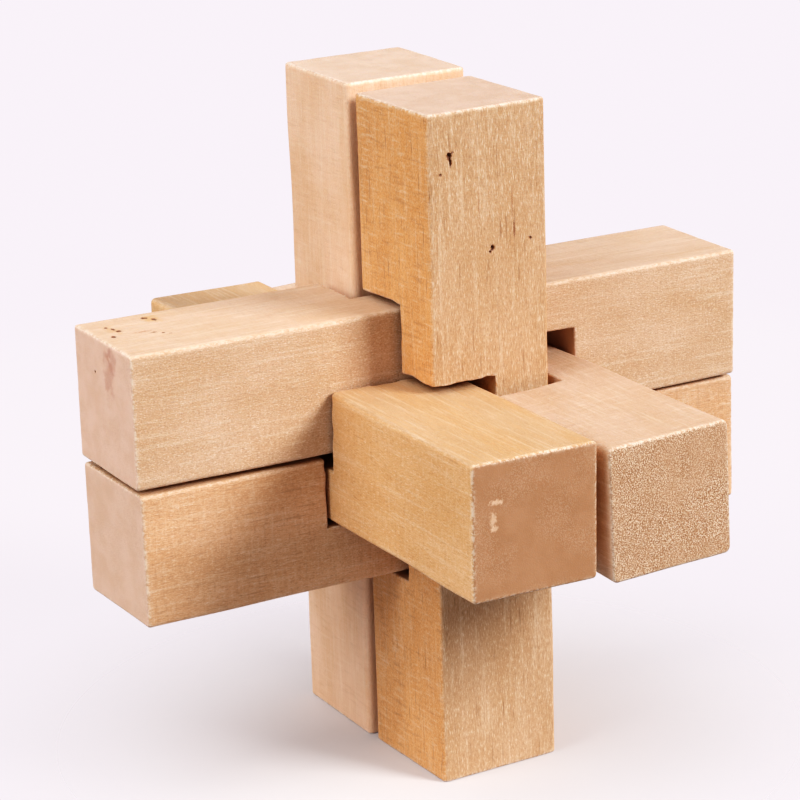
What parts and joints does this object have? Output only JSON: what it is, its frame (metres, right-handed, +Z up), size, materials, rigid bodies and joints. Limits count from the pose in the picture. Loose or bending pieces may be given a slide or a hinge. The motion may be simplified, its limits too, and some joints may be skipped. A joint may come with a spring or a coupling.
{
  "type": "wooden burr puzzle",
  "caption": "Interlocking puzzle of notched square wooden sticks crossing in three pairs at right angles, released by a plain key stick that slides out.",
  "frame": {"origin": "on the ground, under the middle of the core where the six sticks cross; this is the bottom centre of the whole puzzle", "axes": "+Z up along the two uprights, +X to the right along the two cross bars, +Y to the back along the two rails; the key upright is the rear one"},
  "size_m": [0.0765, 0.0764, 0.0768],
  "materials": {
    "honey_wood": "raw sanded hardwood, warm honey, unvarnished",
    "pale_wood": "raw sanded hardwood, paler, unvarnished",
    "rosy_wood": "raw sanded hardwood, slightly redder with open pores, unvarnished"
  },
  "bodies": {
    "front_stick": {"upright_front": "honey_wood"},
    "key_stick": {"key_upright": "pale_wood"},
    "upper_bar": {"cross_bar_upper": "honey_wood"},
    "lower_bar": {"cross_bar_lower": "honey_wood"},
    "left_rail": {"rail_left": "honey_wood"},
    "right_rail": {"rail_right": "rosy_wood"}
  },
  "joints": [
    {"name": "key_slide", "type": "slide", "parent": "front_stick", "child": "key_stick", "axis": [0, 0, 1], "range_m": [0, 0.078]},
    {"name": "upper_bar_play", "type": "slide", "parent": "front_stick", "child": "upper_bar", "axis": [0.9999, -0.014, -0.0026], "range_m": [-0.0002, 0.001]},
    {"name": "lower_bar_play", "type": "slide", "parent": "front_stick", "child": "lower_bar", "axis": [1, -0.0035, 0], "range_m": [-0.0001, 0.0003]},
    {"name": "left_rail_play", "type": "slide", "parent": "front_stick", "child": "left_rail", "axis": [0.0052, 1, 0], "range_m": [-0.0005, 0.0001]},
    {"name": "right_rail_play", "type": "slide", "parent": "front_stick", "child": "right_rail", "axis": [-0.0035, 1, 0], "range_m": [-0.00015, 0.0009]}
  ]
}
